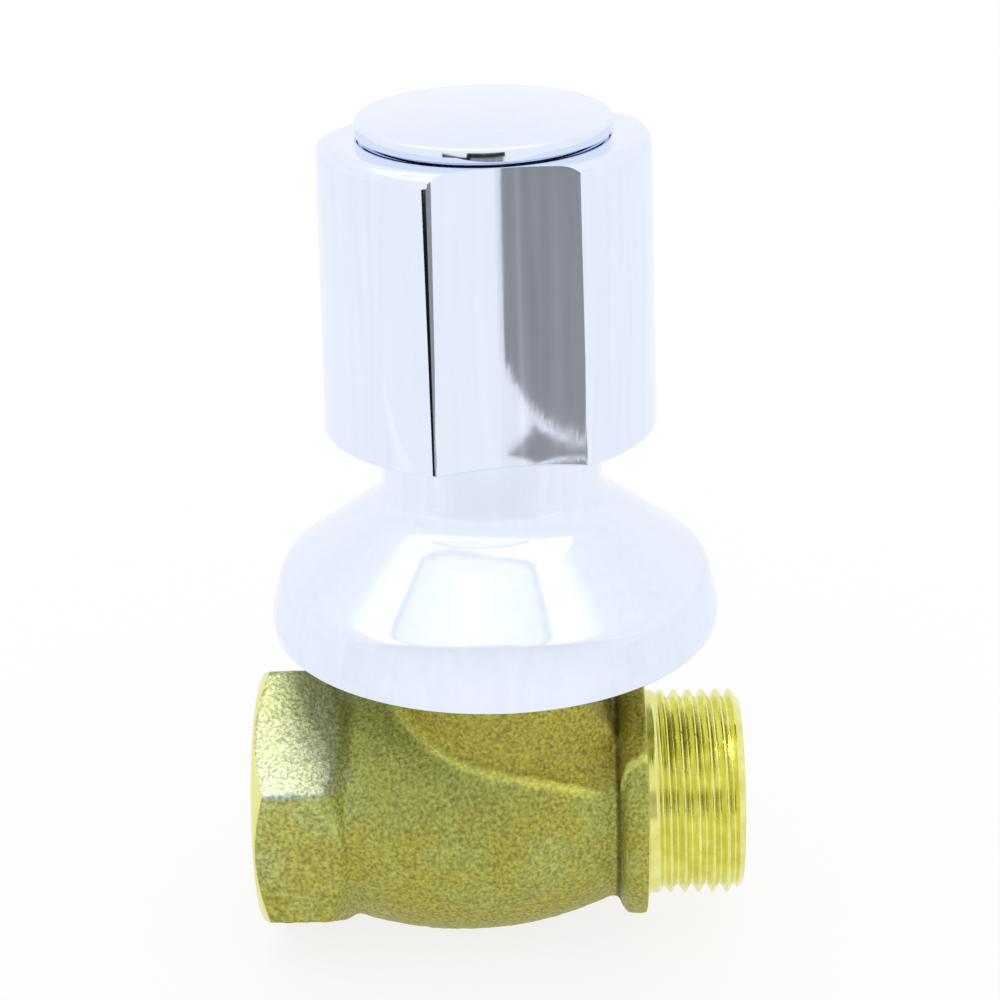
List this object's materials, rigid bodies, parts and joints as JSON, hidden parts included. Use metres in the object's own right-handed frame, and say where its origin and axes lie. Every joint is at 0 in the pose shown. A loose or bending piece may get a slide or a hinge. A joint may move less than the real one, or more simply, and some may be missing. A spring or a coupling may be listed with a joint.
{
  "type": "concealed stop valve",
  "caption": "Brass globe stop valve with a hexagonal female inlet, a male threaded outlet, a chromed bell cover and a chromed three-lobed handle that lifts its washer.",
  "frame": {"origin": "centre of the inlet port's mouth", "axes": "+X along the flow from inlet to outlet, +Z along the spindle towards the handle"},
  "size_m": [0.0622, 0.0562, 0.1105],
  "materials": {
    "cast_brass": "as cast, sand texture",
    "turned_brass": "turned",
    "chrome": "polished",
    "black_rubber": "smooth",
    "fibre": "pressed fibre",
    "white_packing": "smooth",
    "nylon": "moulded",
    "steel": "zinc plated"
  },
  "bodies": {
    "root": {"valve_body": "cast_brass", "bonnet": "turned_brass", "bonnet_gasket": "fibre", "gland_washer": "turned_brass", "gland_packing": "white_packing", "gland_nut": "turned_brass", "escutcheon": "chrome", "escutcheon_sleeve": "turned_brass", "escutcheon_o_ring": "black_rubber", "escutcheon_lock_ring": "steel"},
    "disc_group": {"jumper": "turned_brass", "seat_washer": "black_rubber", "washer_plate": "turned_brass", "washer_screw": "steel"},
    "spindle_group": {"spindle": "turned_brass", "handle": "chrome", "handle_bush": "nylon", "screw_lock_washer": "steel", "handle_screw": "steel", "index_cap": "chrome", "cap_o_ring": "black_rubber"}
  },
  "joints": [
    {"name": "disc_lift", "type": "slide", "parent": "root", "child": "disc_group", "axis": [0, 0, 1], "range_m": [0, 0.006]},
    {"name": "handle_turn", "type": "hinge", "parent": "disc_group", "child": "spindle_group", "pos_m": [0.031, 0, 0.06], "axis": [0, 0, 1], "range_deg": [0, 1080]}
  ],
  "couplings": [
    {"joint": "handle_turn", "follows": "disc_lift", "rad_per_m": 3141.6}
  ]
}
